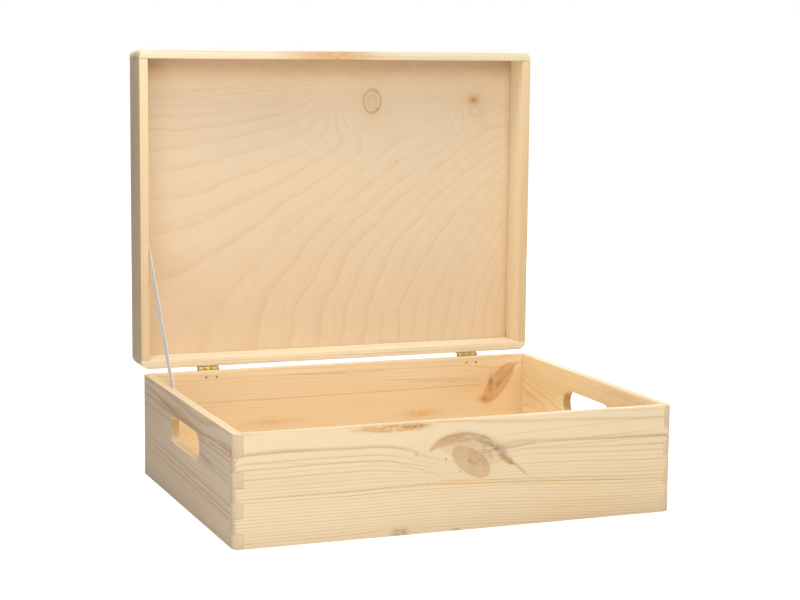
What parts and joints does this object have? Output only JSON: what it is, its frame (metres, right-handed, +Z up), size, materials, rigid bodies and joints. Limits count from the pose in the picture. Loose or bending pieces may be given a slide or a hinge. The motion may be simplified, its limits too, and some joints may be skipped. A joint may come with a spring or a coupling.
{
  "type": "wooden toy box",
  "caption": "Finger-jointed pine box with oval hand holes and a hollow, ply-topped lid that swings up on small brass butt hinges and is held upright by a ribbon stay.",
  "frame": {"origin": "middle of the underside of the bottom panel, on the plane that the box stands on", "axes": "+Z up, +X along the length to the right hand end, -Y towards the front; the hinged edge is at +Y"},
  "size_m": [0.4, 0.3463, 0.3984],
  "materials": {
    "pine": "bare sanded pine, warm",
    "pine_pale": "bare sanded pine, pale",
    "plywood": "bare sanded plywood face",
    "brass": "bright brass",
    "screw_steel": "plain steel",
    "ribbon": "woven ribbon, pale grey"
  },
  "bodies": {
    "box": {"front_board": "pine_pale", "back_board": "pine", "left_board": "pine", "right_board": "pine", "bottom_panel": "plywood", "left_hinge_body_leaf": "brass", "left_hinge_pin": "brass", "left_hinge_body_nail_a": "brass", "left_hinge_body_nail_b": "brass", "right_hinge_body_leaf": "brass", "right_hinge_pin": "brass", "right_hinge_body_nail_a": "brass", "right_hinge_body_nail_b": "brass", "stay_body_screw": "screw_steel", "lid_stay": "ribbon"},
    "lid": {"lid_front_rail": "pine_pale", "lid_back_rail": "pine_pale", "lid_left_rail": "pine_pale", "lid_right_rail": "pine_pale", "lid_panel": "plywood", "left_hinge_lid_leaf": "brass", "left_hinge_lid_nail_a": "brass", "left_hinge_lid_nail_b": "brass", "right_hinge_lid_leaf": "brass", "right_hinge_lid_nail_a": "brass", "right_hinge_lid_nail_b": "brass", "stay_lid_screw": "screw_steel"}
  },
  "joints": [
    {"name": "lid_hinge", "type": "hinge", "parent": "box", "child": "lid", "pos_m": [0, 0.1532, 0.09515], "axis": [1, 0, 0], "range_deg": [0, 90], "deforming": ["lid_stay"]}
  ]
}
